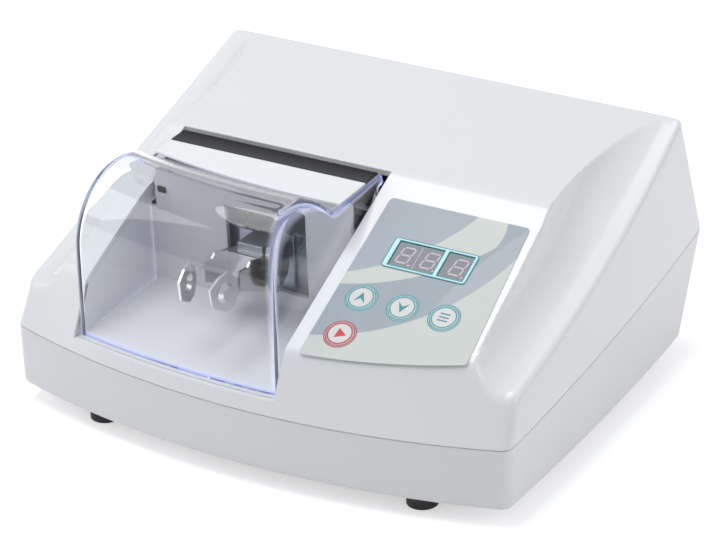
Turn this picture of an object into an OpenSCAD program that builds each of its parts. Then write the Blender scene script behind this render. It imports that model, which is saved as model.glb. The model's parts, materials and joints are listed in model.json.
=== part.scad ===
// Capsule mixer for dental filling material, with a clear lid, a spring fork and a keypad.
// Lengths are in millimetres. X is across the machine, -Y is the front, Z is up from the table.

/* [Housing] */
// half width at the parting line corners
body_hw = 122.5; // [110:0.5:135]
// front parting corner to the rear parting corner
body_len = 193.4; // [180:0.2:210]
// height of the rear ridge
ridge_z = 111.2; // [105:0.1:120]
// moulded wall
wall = 2.5; // [2:0.1:3]
// underside of the housing above the table
base_z = 8; // [6:0.5:10]
// half width at the shoulder where the side channel starts
shoulder_x = 118.6; // [116:0.1:121]
// radius of the hollow side channel
channel_r = 23; // [20:0.5:26]

/* [Lid] */
// left edge of the lid
lid_x0 = -86.8; // [-90:0.1:-82]
// right edge of the lid
lid_x1 = 18.5; // [15:0.1:22]
// clear wall
lid_t = 2.6; // [2:0.1:3.5]
// gap between the lid and the notch
lid_gap = 0.6; // [0.4:0.1:1]
// hinge pin radius
pin_r = 2; // [1.5:0.1:2.5]

/* [Drive] */
// distance of the motor axis from the table
shaft_z = 68; // [66:0.5:70]
// distance of the motor axis behind the middle
shaft_y = 28; // [27:0.5:31]
// motor shaft radius
shaft_r = 4; // [3:0.1:5]
// radial clearance of a running shaft
run_gap = 0.08; // [0.02:0.01:0.1]
// radial allowance of parts fixed on the shaft
fix_gap = 0.02; // [0.01:0.01:0.05]
// tilt of the bearing on the shaft
tilt = 5; // [4:0.5:6]
// spherical outside of the bearing
ball_r = 20; // [18:0.5:21]
// middle of the arm across the machine
arm_x = -30; // [-31:0.5:-29]
// motor can radius
motor_r = 24; // [23:0.5:25]

/* [Fork] */
// distance between the two fork strips
fork_w = 18; // [16:0.5:19]
// spring sheet thickness
fork_t = 1.2; // [0.8:0.1:1.6]
// height of the capsule axis
claw_z = 71; // [69:0.5:73]
// capsule axis from the middle
claw_y = -73.5; // [-76:0.5:-71]

/* [Keys] */
// pitch of the keys
key_pitch = 19.8; // [18:0.1:21]
// key radius
key_r = 6.2; // [5:0.1:7]
// key travel
key_travel = 0.4; // [0.3:0.1:0.6]

/* [Hidden] */
$fn = 96;

// side view lines of the housing
body_y0 = -87.6;
body_y1 = body_y0 + body_len;
part_z0 = 37.5;
part_s = 0.0869;
part_a = atan(part_s);
part_z1 = part_z0 + part_s * body_len;
top_s = 0.08;
ridge_y = 95;
con_s = 0.44;
con_a = atan(con_s);
con_y = -10;
con_z = 98.2;
rear_s = (body_y1 - ridge_y) / (ridge_z - part_z1);
rear_a = atan(rear_s);
foot_y1 = 82;
bow_r = 420;
side_r = 1570;
side_sag = 3;
front_lean = 0.519;
side_lean = 0.12;
sh_y0 = -79.5;
sh_z0 = 56.8;
sh_s = (ridge_z - sh_z0) / (ridge_y - sh_y0);
sh_a = atan(sh_s);

// chamber and lid
tub_z = 42;
tub_y = -28.4;
notch_x0 = lid_x0 - lid_gap;
notch_x1 = lid_x1 + lid_gap;
edge_y = 3.1;
hinge_y = -17;
hinge_z = 86.5;
open_x0 = -47;
open_x1 = -8;
open_z0 = 49.5;
open_z1 = 89.5;

// heights of the housing's planes, each inset by i
function top_z(y, i) = ridge_z + top_s * (y - ridge_y) - i * sqrt(1 + top_s * top_s);
function con_zz(y, i) = con_z + con_s * (y - con_y) - i * sqrt(1 + con_s * con_s);
function crease_y(i) = (ridge_z - top_s * ridge_y - i * sqrt(1 + top_s * top_s) - con_z + con_s * con_y
    + i * sqrt(1 + con_s * con_s)) / (con_s - top_s);
function rear_y(z, i) = body_y1 - rear_s * (z - part_z1) - i * sqrt(1 + rear_s * rear_s);
function ridge_yy(i) = (body_y1 + rear_s * part_z1 - i * sqrt(1 + rear_s * rear_s)
    - rear_s * (ridge_z - top_s * ridge_y - i * sqrt(1 + top_s * top_s))) / (1 + rear_s * top_s);

module from_side(x0, x1) {
    translate([x0, 0, 0])
        rotate([90, 0, 90])
            linear_extrude(x1 - x0)
                children();
}

// everything above the parting plane
module above_parting(d) {
    translate([-160, body_y0, part_z0])
        rotate([part_a, 0, 0])
            translate([0, -60, d])
                cube([320, 320, 120]);
}

module plan_stack(i, up) {
    translate([0, body_y0, part_z0])
        rotate([part_a, 0, 0])
            intersection() {
                translate([0, bow_r - 18.3, 0])
                    if (up)
                        translate([0, 0, -1])
                            cylinder(h = 121, r1 = bow_r - i + front_lean, r2 = bow_r - i - front_lean * 120,
                                $fn = 360);
                    else
                        translate([0, 0, -60])
                            cylinder(h = 61, r = bow_r - i, $fn = 360);
                side_wall(i, up);
                mirror([1, 0, 0])
                    side_wall(i, up);
            }
}

// one flat-curved side of the housing
module side_wall(i, up) {
    translate([body_hw + side_sag - side_r, body_len / 2, 0])
        if (up)
            translate([0, 0, -1])
                cylinder(h = 121, r1 = side_r - i + side_lean, r2 = side_r - i - side_lean * 120, $fn = 360);
        else
            translate([0, 0, -60])
                cylinder(h = 61, r1 = side_r - i - 1.8, r2 = side_r - i + 0.03, $fn = 360);
}

// hollow channel along each side, cut from the raised middle down to the shoulder
module side_channel(i) {
    translate([shoulder_x, sh_y0, sh_z0])
        rotate([sh_a, 0, 0])
            translate([0, 0, channel_r - 2.5]) {
                rotate([-90, 0, 0])
                    translate([0, 0, -60])
                        cylinder(h = 320, r = channel_r + i);
                translate([-channel_r - i, -60, 0])
                    cube([2 * channel_r + 20, 320, 80]);
                translate([0, -60, -channel_r - i])
                    cube([2 * channel_r, 320, 80]);
            }
}

module upper_form(i) {
    difference() {
        intersection() {
            plan_stack(i, true);
            from_side(-140, 140)
                polygon([[-140, 20], [-140, con_zz(-140, i)], [crease_y(i), top_z(crease_y(i), i)],
                    [ridge_yy(i), top_z(ridge_yy(i), i)], [rear_y(20, i), 20]]);
        }
        side_channel(i);
        mirror([1, 0, 0])
            side_channel(i);
    }
}

module notch(grow) {
    translate([notch_x0 - grow, -140, tub_z - grow])
        cube([notch_x1 - notch_x0 + 2 * grow, 140 + edge_y, 120]);
}

module on_console(x, y) {
    translate([x, y, con_z + con_s * (y - con_y)])
        rotate([con_a, 0, 0])
            children();
}

module on_rear(x, z) {
    translate([x, rear_y(z, 0), z])
        rotate([rear_a, 0, 0])
            children();
}

lid_r = 420;
lid_front = -99.1;
lid_cy = lid_front + lid_r;
lid_z0 = tub_z + lid_gap;
lid_flat = 104;
lid_top = 118;
lid_rear = -1.6;
lid_xc = (lid_x0 + lid_x1) / 2;
lid_hw = (lid_x1 - lid_x0) / 2;
bulge_r = 115;
bulge_z = 84;

// radial distance and height along the top of the lid, inset by i
function lid_drop(t, i) = lid_top - i - 13.5 * pow(t, 2.6) - 0.3 * i * t;
function lid_profile(i) = concat(
    [for (k = [0:14]) [lid_r - i - (24.7 - i) * (1 - cos(k * 90 / 14)),
        bulge_z + (lid_top - bulge_z - i) * sin(k * 90 / 14)]],
    [for (k = [1:10]) [lid_r - 24.7 - 3.1 * k, lid_drop(k / 10, i)]],
    [[lid_r - 58, lid_flat + 0.3 - i * 1.1], [lid_r - 61, lid_flat - i]]);

// half width of the lid at a height
function lid_side(z, i) = lid_hw - i
    - (z > bulge_z ? bulge_r - sqrt(bulge_r * bulge_r - pow(z - bulge_z, 2)) : 0);
side_steps = [20, 84, 89, 94, 99, 104, 109, 114, 119];

module lid_form(i) {
    intersection() {
        translate([0, lid_cy, 0])
            rotate_extrude($fn = 360)
                polygon(concat([[lid_r - i, 20]], lid_profile(i),
                    [[lid_r - 130, lid_flat - i], [lid_r - 130, 20]]));
        translate([lid_xc, 60, 0])
            rotate([90, 0, 0])
                linear_extrude(200)
                    polygon(concat([for (z = side_steps) [lid_side(z, i), z]],
                        [for (k = [8:-1:0]) [-lid_side(side_steps[k], i), side_steps[k]]]));
    }
}

console_holes = [[39, -60.7], [39 + key_pitch, -60.7], [39 + 2 * key_pitch, -60.7], [39, -79.3]];
con_c = cos(con_a);
disp_x = 58.9;
disp_v = -28.4;
board_screw_pos = [[33, -18], [87, -18], [29.5, -65.5], [87, -66]];
mount_x0 = -62;
mount_x1 = 84;
mount_y0 = -8;
mount_y1 = 46;
boss_pos = [[-108, -66], [108, -66], [-108, 66], [108, 66]];
function part_z(y) = part_z0 + part_s * (y - body_y0);
foot_pos = [[-79.8, -84.4], [79.8, -84.4], [-79.8, 62], [79.8, 62]];
plate_z = 24;
plate_t = 2.5;
mount_z = 12;
inlet_x = -72;
inlet_z = 80;

// the drive is drawn about the motor axis, which runs along X
module on_shaft(x) {
    translate([x, shaft_y, shaft_z])
        rotate([0, 90, 0])
            children();
}

// the bearing is tilted on the shaft about its own middle
module on_bearing() {
    translate([arm_x, shaft_y, shaft_z])
        rotate([0, 90 + tilt, 0])
            children();
}

module on_panel(x, v) {
    translate([0, con_y, con_z])
        rotate([con_a, 0, 0])
            translate([x, v, 0])
                children();
}

function key_v(k) = (console_holes[k][1] - con_y) / con_c;

module at_key(k) {
    on_panel(console_holes[k][0], key_v(k))
        children();
}

module overlay_outline(g) {
    intersection() {
        polygon([[26 - g, g], [93.4 + g, g], [98.7 + g, -78], [98.7 + g, -95], [26 - g, -95]]);
        translate([0, 221.6])
            circle(r = 313 + g, $fn = 360);
    }
}

module rounded(w, h, r) {
    square([w - 2 * r, h], center = true);
    square([w, h - 2 * r], center = true);
    for (x = [-1, 1], y = [-1, 1])
        translate([x * (w / 2 - r), y * (h / 2 - r)])
            circle(r = r);
}

module windows(g) {
    translate([disp_x - 17.3 - g, disp_v - 6.8 - g, -20])
        cube([21.4 + 2 * g, 13.6 + 2 * g, 40]);
    translate([disp_x + 6.4 - g, disp_v - 6.8 - g, -20])
        cube([12 + 2 * g, 13.6 + 2 * g, 40]);
}

module upper_shell() {
    color([0.93, 0.94, 0.96])
        difference() {
            union() {
                difference() {
                    intersection() {
                        upper_form(0);
                        above_parting(0);
                    }
                    upper_form(wall);
                }
                // posts for the keypad board
                intersection() {
                    upper_form(wall / 2);
                    for (p = board_screw_pos)
                        on_panel(p[0], p[1])
                            translate([0, 0, -11])
                                cylinder(h = 10, r = 3);
                }
                // posts for the housing screws
                intersection() {
                    upper_form(wall / 2);
                    for (p = boss_pos)
                        translate([p[0], p[1], part_z(p[1]) - 4])
                            cylinder(h = 70, r = 4.5);
                }
            }
            notch(0);
            on_rear(inlet_x, inlet_z)
                translate([-23.8, -10, -13.8])
                    cube([47.6, 20, 27.6]);
            for (k = [0:5])
                on_rear(62, 68 + 6 * k)
                    translate([-26, -10, -1.4])
                        cube([52, 20, 2.8]);
            on_panel(0, 0)
                windows(0);
            for (k = [0:3])
                at_key(k)
                    translate([0, 0, -6])
                        cylinder(h = 12, r = key_r + 0.3);
            for (p = board_screw_pos)
                on_panel(p[0], p[1])
                    translate([0, 0, -12])
                        cylinder(h = 8, r = 1.25);
            for (p = boss_pos)
                translate([p[0], p[1], part_z(p[1]) - 4])
                    cylinder(h = 18, r = 1.55);
        }
}

module lower_shell() {
    color([0.86, 0.86, 0.87])
        difference() {
            union() {
                difference() {
                    lower_form(0);
                    lower_form(wall);
                }
                for (x = [mount_x0, mount_x1], y = [mount_y0, mount_y1])
                    translate([x, y, base_z + 0.5])
                        cylinder(h = mount_z - base_z - 0.5, r = 9);
                for (p = boss_pos)
                    translate([p[0], p[1], base_z + 0.5])
                        cylinder(h = part_z(p[1]) - 1.6 - base_z - 0.5, r = 5.5);
                for (p = foot_pos)
                    translate([p[0], p[1], base_z + 0.5])
                        cylinder(h = 8, r = 4);
                for (p = power_board_pos)
                    translate([p[0], p[1], base_z + 0.5])
                        cylinder(h = 7.5, r = 3);
            }
            for (p = boss_pos)
                translate([p[0], p[1], base_z - 1]) {
                    cylinder(h = 60, r = 1.9);
                    cylinder(h = part_z(p[1]) - 12 - base_z + 1, r = 4);
                }
            for (p = foot_pos)
                translate([p[0], p[1], base_z - 1])
                    cylinder(h = 8, r = 1.6);
            // plain holes for the transit screws
            for (x = transit_x)
                translate([x, shaft_y, base_z - 1])
                    cylinder(h = 8, r = transit_r);
            // cooling slots in the floor
            for (k = [0:6])
                translate([14 + 9 * k, 36, base_z - 1])
                    cube([4, 38, 8]);
        }
}
transit_x = [-46, 66];
transit_r = 3.2;
power_board_pos = [[31, -70], [95, -70], [31, -28], [95, -28]];

module lower_form(i) {
    intersection() {
        plan_stack(i, false);
        from_side(-140, 140)
            polygon([[-140, base_z + i], [foot_y1 - i, base_z + i],
                [body_y1 - i * 1.13, part_z1 - i * 0.1], [body_y1 - i * 1.13, 90], [-140, 90]]);
        if (i == 0)
            translate([-160, body_y0, part_z0])
                rotate([part_a, 0, 0])
                    translate([0, -60, -100])
                        cube([320, 320, 100]);
    }
}

module chamber_tub() {
    color([0.91, 0.92, 0.94])
        difference() {
            union() {
                intersection() {
                    upper_form(wall + 0.3);
                    translate([notch_x0 - wall, -140, tub_z - wall])
                        cube([notch_x1 - notch_x0 + 2 * wall, 140 + tub_y + wall, 90]);
                }
                // top of the rear wall, under the flat part of the lid
                translate([notch_x0 + 4.5, tub_y, 80])
                    cube([notch_x1 - notch_x0 - 9, wall, 19.5]);
                // ears for the hinge pins
                intersection() {
                    upper_form(wall + 0.3);
                    for (x = [notch_x0 - wall, notch_x1])
                        translate([x, tub_y, 79])
                            cube([wall, 18, 40]);
                }
            }
            translate([notch_x0, -140, tub_z])
                cube([notch_x1 - notch_x0, 140 + tub_y, 90]);
            // slots at both ends of the rear wall for the lid arms
            for (x = [notch_x0, notch_x1 - 4])
                translate([x, tub_y - 1, 78])
                    cube([4, 5, 40]);
            translate([open_x0, tub_y - 1, open_z0])
                cube([open_x1 - open_x0, 10, open_z1 - open_z0]);
            translate([sensor_x - 2, tub_y - 1, sensor_z - 2])
                cube([4, 10, 4]);
            for (x = [notch_x0 - wall - 1, notch_x1 - 1])
                translate([x, hinge_y, hinge_z])
                    rotate([0, 90, 0])
                        cylinder(h = wall + 2, r = pin_r + run_gap);
        }
}
sensor_x = -79.3;
sensor_z = 89.5;

module feet() {
    color([0.05, 0.05, 0.06])
        for (p = foot_pos)
            translate([p[0], p[1], 0])
                difference() {
                    cylinder(h = base_z, r = 7);
                    translate([0, 0, -1])
                        cylinder(h = 4.5, r = 3.6);
                    cylinder(h = 20, r = 1.6);
                }
}

module foot_screws() {
    color([0.7, 0.7, 0.72])
        for (p = foot_pos)
            translate([p[0], p[1], 1.4]) {
                cylinder(h = 2.1, r = 3.2);
                cylinder(h = 11, r = 1.5);
            }
}

module housing_screws() {
    color([0.7, 0.7, 0.72])
        for (p = boss_pos)
            translate([p[0], p[1], part_z(p[1]) - 14.5]) {
                difference() {
                    cylinder(h = 2.5, r = 3.5);
                    for (a = [0, 90])
                        rotate([0, 0, a])
                            translate([-2, -0.4, -1])
                                cube([4, 0.8, 2.4]);
                }
                cylinder(h = 24, r = 1.5);
            }
}

module lid_cover() {
    color([0.75, 0.82, 0.95, 0.35])
        difference() {
            intersection() {
                lid_form(0);
                from_side(-100, 40)
                    polygon([[-140, lid_z0], [-31, lid_z0], [-31, 82], [hinge_y - 5, 82], [hinge_y - 4, 80.5],
                        [hinge_y + 4, 80.5], [hinge_y + 5.5, 84], [hinge_y + 5.5, 94], [lid_rear - 3, 100],
                        [lid_rear, 100], [lid_rear, 130], [-140, 130]]);
            }
            lid_form(lid_t);
            translate([-140, hinge_y, hinge_z])
                rotate([0, 90, 0])
                    cylinder(h = 280, r = pin_r + run_gap);
        }
}

// white sheet on the flat behind the lid's hollow
module lid_strip() {
    color([0.96, 0.97, 0.98])
        difference() {
            translate([lid_x0 + 3, -60, lid_flat])
                cube([2 * lid_hw - 6, 60 + bar_y, 0.8]);
            translate([0, lid_cy, 0])
                cylinder(h = 140, r = lid_cy, $fn = 360);
            difference() {
                translate([-140, -140, 80])
                    cube([280, 160, 60]);
                translate([0, lid_cy, 79])
                    cylinder(h = 70, r = lid_r - 62, $fn = 360);
            }
        }
}
bar_y = -14.1;
bar_end = lid_rear - 1.2;

module hinge_bar() {
    color([0.12, 0.12, 0.14])
        translate([lid_x0 + 3, 0, 0])
            from_side(0, 2 * lid_hw - 6)
                polygon([[bar_y + 0.1, lid_flat], [bar_end, lid_flat], [bar_end, lid_flat + 0.6],
                    [bar_end - 0.6, lid_flat + 1.2], [bar_y + 0.1, lid_flat + 1.2]]);
}

module hinge_pins() {
    color([0.75, 0.76, 0.78])
        for (s = [0, 1])
            translate([s == 0 ? notch_x0 - wall - 1.5 : lid_x1 - lid_t - 1.5, hinge_y, hinge_z])
                rotate([0, 90, 0]) {
                    cylinder(h = wall + lid_gap + lid_t + 3, r = pin_r);
                    translate([0, 0, s == 0 ? 0 : wall + lid_gap + lid_t + 1.9])
                        cylinder(h = 1.1, r = pin_r + 1);
                }
}

module interlock_sensor() {
    color([0.08, 0.08, 0.1])
        union() {
            translate([sensor_x - 1.8, tub_y - 1, sensor_z - 1.8])
                cube([3.6, 4, 3.6]);
            translate([sensor_x - 4, tub_y + wall + 0.1, sensor_z - 4])
                cube([8, 3, 8]);
        }
}

module lid_magnet() {
    color([0.4, 0.4, 0.42])
        translate([lid_x0 + lid_t + 0.7, hinge_y - 3, hinge_z + 7])
            rotate([0, 90, 0])
                cylinder(h = 1.4, r = 2);
}

module overlay() {
    color([0.78, 0.82, 0.83])
        on_panel(0, 0)
            difference() {
                linear_extrude(0.4)
                    overlay_outline(0);
                windows(0);
                for (k = [0:3])
                    translate([console_holes[k][0], key_v(k), -1])
                        cylinder(h = 3, r = key_r + 0.3);
            }
}

module display_frame() {
    color([0.75, 0.9, 0.92])
        on_panel(disp_x, disp_v)
            difference() {
                translate([0, 0, 0.4])
                    linear_extrude(0.3)
                        rounded(40.4, 16.6, 1.8);
                translate([-disp_x, -disp_v, 0])
                    windows(0);
            }
}

module display_pane() {
    color([0.2, 0.2, 0.22, 0.6])
        on_panel(disp_x, disp_v)
            for (d = [[-17.1, 21], [6.6, 11.6]])
                translate([d[0], -6.6, -2.2])
                    cube([d[1], 13.2, 1]);
}

module display_double() {
    color([0.2, 0.2, 0.22])
        on_panel(disp_x, disp_v)
            translate([-16.65, -6.5, -10.9])
                cube([20.1, 13, 8.2]);
}

module display_single() {
    color([0.2, 0.2, 0.22])
        on_panel(disp_x, disp_v)
            translate([7.4, -6.5, -10.9])
                cube([10, 13, 8.2]);
}

module control_board() {
    color([0.1, 0.35, 0.2])
        on_panel(0, 0)
            difference() {
                translate([25, -82, -12.6])
                    cube([66, 68, 1.6]);
                for (p = board_screw_pos)
                    translate([p[0], p[1], -13])
                        cylinder(h = 3, r = 1.5);
                translate([74, -90, -13])
                    cube([20, 20, 3]);
            }
}

module board_screws() {
    color([0.75, 0.75, 0.76])
        for (p = board_screw_pos)
            on_panel(p[0], p[1])
                translate([0, 0, -14.4]) {
                    cylinder(h = 1.8, r = 2.4);
                    cylinder(h = 9, r = 1.2);
                }
}

module key_switches() {
    color([0.15, 0.15, 0.16])
        for (k = [0:3])
            at_key(k) {
                translate([-3, -3, -11])
                    cube([6, 6, 3.6]);
                translate([0, 0, -8])
                    cylinder(h = 4, r = 1.7);
            }
}

module key_cap(k) {
    at_key(k)
        union() {
            translate([0, 0, -3])
                cylinder(h = 3.5, r = key_r);
            translate([0, 0, 0.5])
                cylinder(h = 0.4, r1 = key_r, r2 = key_r - 0.5);
            translate([0, 0, -3.5])
                cylinder(h = 0.8, r = key_r + 1);
        }
}

module key_up() {
    color([0.85, 0.93, 0.93])
        key_cap(0);
}

module key_down() {
    color([0.85, 0.93, 0.93])
        key_cap(1);
}

module key_mode() {
    color([0.85, 0.93, 0.93])
        key_cap(2);
}

module key_start() {
    color([0.95, 0.88, 0.88])
        key_cap(3);
}

module rubber_mounts() {
    color([0.06, 0.06, 0.07])
        for (x = [mount_x0, mount_x1], y = [mount_y0, mount_y1])
            translate([x, y, mount_z])
                rotate_extrude()
                    polygon([[0, 0], [7, 0], [7, 3], [4.6, 6], [7, 9], [7, plate_z - mount_z],
                        [0, plate_z - mount_z]]);
}

module base_plate() {
    color([0.7, 0.72, 0.73])
        difference() {
            translate([mount_x0 - 10, -24, plate_z])
                cube([mount_x1 - mount_x0 + 20, 82, plate_t]);
            for (x = transit_x)
                translate([x, shaft_y, plate_z - 1])
                    cylinder(h = 6, r = 2.1);
        }
}

module motor_plate() {
    color([0.65, 0.67, 0.69])
        difference() {
            union() {
                on_shaft(4)
                    cylinder(h = 3, r = motor_r);
                translate([4, shaft_y - 20, plate_z + plate_t])
                    cube([3, 40, shaft_z - plate_z - plate_t]);
                translate([4, shaft_y - 20, plate_z + plate_t])
                    cube([16, 40, 2.5]);
            }
            on_shaft(0)
                cylinder(h = 10, r = 9);
            for (a = [45:90:315])
                on_shaft(0)
                    rotate([0, 0, a])
                        translate([16, 0, 0])
                            cylinder(h = 10, r = 2.1);
        }
}

module motor_screws() {
    color([0.75, 0.75, 0.77])
        for (a = [45:90:315])
            on_shaft(1.5)
                rotate([0, 0, a])
                    translate([16, 0, 0]) {
                        cylinder(h = 2.4, r = 3.4);
                        cylinder(h = 7, r = 1.9);
                    }
}

module outboard_plate() {
    color([0.65, 0.67, 0.69])
        difference() {
            union() {
                translate([-62, shaft_y - 14, plate_z + plate_t])
                    cube([3, 28, shaft_z - plate_z - plate_t + 12]);
                translate([-72, shaft_y - 14, plate_z + plate_t])
                    cube([13, 28, 2.5]);
                on_shaft(-65)
                    cylinder(h = 9, r = 8);
            }
            on_shaft(-80)
                cylinder(h = 30, r = shaft_r + run_gap);
        }
}

module shield_plate() {
    color([0.72, 0.73, 0.76])
        difference() {
            translate([-54, -22, plate_z + plate_t])
                cube([52, 1.9, shield_z - plate_z - plate_t]);
            translate([arm_x - 12, -23, 56])
                cube([24, 5, 40]);
        }
}

module motor_can() {
    color([0.5, 0.52, 0.55])
        difference() {
            on_shaft(7)
                cylinder(h = 63, r = motor_r);
            on_shaft(9.5)
                cylinder(h = 70, r = motor_r - 2);
            on_shaft(0)
                cylinder(h = 20, r = shaft_r + run_gap);
            for (a = [45:90:315])
                on_shaft(6)
                    rotate([0, 0, a])
                        translate([16, 0, 0])
                            cylinder(h = 5, r = 1.95);
        }
}

module stator_magnets() {
    color([0.2, 0.2, 0.22])
        on_shaft(16)
            difference() {
                cylinder(h = 42, r = motor_r - 2.05);
                translate([0, 0, -1])
                    cylinder(h = 50, r = motor_r - 5.5);
                translate([-5, -40, -1])
                    cube([10, 80, 50]);
            }
}

module motor_rear_cap() {
    color([0.55, 0.57, 0.6])
        difference() {
            union() {
                on_shaft(70)
                    cylinder(h = 3, r = motor_r);
                on_shaft(73)
                    cylinder(h = 3, r = 8);
                for (s = [-1, 1])
                    translate([60.5, shaft_y - 4, shaft_z + s * 13 - 3.5])
                        cube([10, 8, 7]);
            }
            on_shaft(60)
                cylinder(h = 30, r = shaft_r + run_gap);
            for (s = [-1, 1])
                translate([60, shaft_y - 2.4, shaft_z + s * 13 - 5])
                    cube([8, 4.8, 10]);
        }
}

module brush_blocks() {
    color([0.12, 0.12, 0.12])
        for (s = [-1, 1])
            intersection() {
                translate([61, shaft_y - 2.3, s > 0 ? shaft_z + 8.1 : shaft_z - 16])
                    cube([6.5, 4.6, 7.9]);
                difference() {
                    on_shaft(50)
                        cylinder(h = 30, r = 20);
                    on_shaft(50)
                        cylinder(h = 30, r = 8.15);
                }
            }
}

module rotor_shaft() {
    color([0.8, 0.81, 0.83])
        on_shaft(-67)
            difference() {
                cylinder(h = 156, r = shaft_r);
                translate([3, -5, 150])
                    cube([4, 10, 8]);
            }
}

module rotor_core() {
    color([0.45, 0.45, 0.47])
        on_shaft(18)
            difference() {
                cylinder(h = 36, r = motor_r - 6.2);
                translate([0, 0, -1])
                    cylinder(h = 50, r = shaft_r + fix_gap);
                for (k = [0:8])
                    rotate([0, 0, 40 * k]) {
                        translate([11, 0, -1])
                            cylinder(h = 50, r = 3);
                        translate([11, -0.8, -1])
                            cube([12, 1.6, 50]);
                    }
            }
}

module rotor_windings() {
    color([0.75, 0.42, 0.2])
        for (x = [12.5, 54.2])
            on_shaft(x)
                rotate_extrude()
                    polygon([[shaft_r + 1.5, 0], [14, 0], [16, 1.5], [16, 5.3], [shaft_r + 1.5, 5.3]]);
}

module commutator() {
    color([0.78, 0.5, 0.28])
        on_shaft(59.8)
            difference() {
                cylinder(h = 9, r = 8);
                translate([0, 0, -1])
                    cylinder(h = 12, r = shaft_r + fix_gap);
                for (k = [0:8])
                    rotate([0, 0, 40 * k])
                        translate([7, -0.3, -1])
                            cube([3, 0.6, 12]);
            }
}

module cooling_fan() {
    color([0.15, 0.16, 0.18])
        on_shaft(78)
            difference() {
                union() {
                    cylinder(h = 9, r = 8);
                    for (k = [0:6])
                        rotate([0, 0, 360 / 7 * k])
                            translate([6, 0, 4.5])
                                rotate([35, 0, 0])
                                    translate([0, -5.5, -0.7])
                                        cube([17, 11, 1.4]);
                }
                translate([0, 0, -5])
                    cylinder(h = 30, r = shaft_r + fix_gap);
            }
}

module tilted_sleeve() {
    color([0.6, 0.62, 0.64])
        difference() {
            on_bearing()
                translate([0, 0, -8])
                    cylinder(h = 16, r = 8);
            on_shaft(arm_x - 20)
                cylinder(h = 40, r = shaft_r + fix_gap);
        }
}

ball_pitch = 13;
ball_d = 3;

module ball_groove() {
    rotate_extrude()
        translate([ball_pitch, 0])
            circle(r = ball_d + 0.05);
}

module bearing_inner() {
    color([0.8, 0.81, 0.83])
        on_bearing()
            difference() {
                translate([0, 0, -5.5])
                    cylinder(h = 11, r = 11);
                translate([0, 0, -10])
                    cylinder(h = 20, r = 8);
                ball_groove();
            }
}

module bearing_balls() {
    color([0.88, 0.89, 0.9])
        on_bearing()
            for (k = [0:8])
                rotate([0, 0, 40 * k])
                    translate([ball_pitch, 0, 0])
                        sphere(r = ball_d);
}

module bearing_outer() {
    color([0.74, 0.75, 0.78])
        on_bearing()
            difference() {
                intersection() {
                    sphere(r = ball_r);
                    translate([0, 0, -6])
                        cylinder(h = 12, r = ball_r + 1);
                }
                translate([0, 0, -10])
                    cylinder(h = 20, r = 15);
                ball_groove();
            }
}

hub_r = 24;

module hub_form() {
    difference() {
        union() {
            on_shaft(arm_x - 7)
                cylinder(h = 14, r = hub_r);
            for (s = [-1, 1])
                translate([arm_x - 5, shaft_y - 8, shaft_z + s * 27 - 4])
                    cube([10, 16, 8]);
        }
        translate([arm_x, shaft_y, shaft_z])
            sphere(r = ball_r + run_gap);
        for (s = [-1, 1])
            translate([arm_x, shaft_y - 7, shaft_z + s * 28])
                rotate([-90, 0, 0])
                    cylinder(h = 20, r = 1.6);
    }
}

block_w = fork_w - fork_t;

module swing_arm() {
    color([0.72, 0.73, 0.75])
        difference() {
            union() {
                intersection() {
                    hub_form();
                    translate([arm_x - 20, shaft_y - 40, 0])
                        cube([40, 40, 140]);
                }
                difference() {
                    translate([arm_x - 6, -37.5, 62])
                        cube([12, shaft_y - 22 + 37.5, 13]);
                    on_shaft(arm_x - 20)
                        cylinder(h = 40, r = hub_r - 2);
                }
                translate([arm_x - block_w / 2, -43, 60])
                    cube([block_w, 14, 11.5]);
            }
            translate([arm_x - 20, knob_y, knob_z])
                rotate([0, 90, 0])
                    cylinder(h = 40, r = 2.1);
        }
}
knob_y = -38;
knob_z = 66.6;
shield_z = 75.5;

// thin sheet on the arm that keeps covering the slot of the fixed shield
module arm_shield() {
    color([0.72, 0.73, 0.76])
        difference() {
            translate([arm_x - 13, -24.4, 44])
                cube([26, 1, shield_z - 44]);
            translate([arm_x - 6, -26, 62])
                cube([12, 5, 40]);
        }
}

module hub_cap() {
    color([0.68, 0.69, 0.72])
        intersection() {
            hub_form();
            translate([arm_x - 20, shaft_y, 0])
                cube([40, 60, 140]);
        }
}

module cap_screws() {
    color([0.5, 0.5, 0.53])
        for (s = [-1, 1])
            translate([arm_x, shaft_y - 6, shaft_z + s * 28])
                rotate([-90, 0, 0]) {
                    cylinder(h = 14.1, r = 1.5);
                    translate([0, 0, 14])
                        cylinder(h = 3, r = 2.8);
                }
}

// plan of one bent strip: along the block, a step outwards, then the claw toed in
claw_x = 9.3;
claw_toe = 10;
claw_edge = [[-9.6, 5], [-3.5, 8.2], [2.2, 9.2], [7.6, 3.6], [8.2, -3.2], [5.4, -8.2], [0, -9],
    [-8.2, -4]];

module strip_plan() {
    w = fork_t / 2;
    polygon([[9 + w, -32], [9 + w, -61.2 - w * 0.2], [10.7 + w, -65.6], [10.7 - w, -65.6],
        [9 - w, -61.2 + w * 0.2], [9 - w, -32]]);
}

// the claw is drawn about its own middle, in the plane of the sheet
module on_claw(x) {
    translate([claw_x, claw_y, claw_z])
        rotate([0, 0, -claw_toe])
            translate([x, 0, 0])
                rotate([90, 0, 90])
                    children();
}

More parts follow.
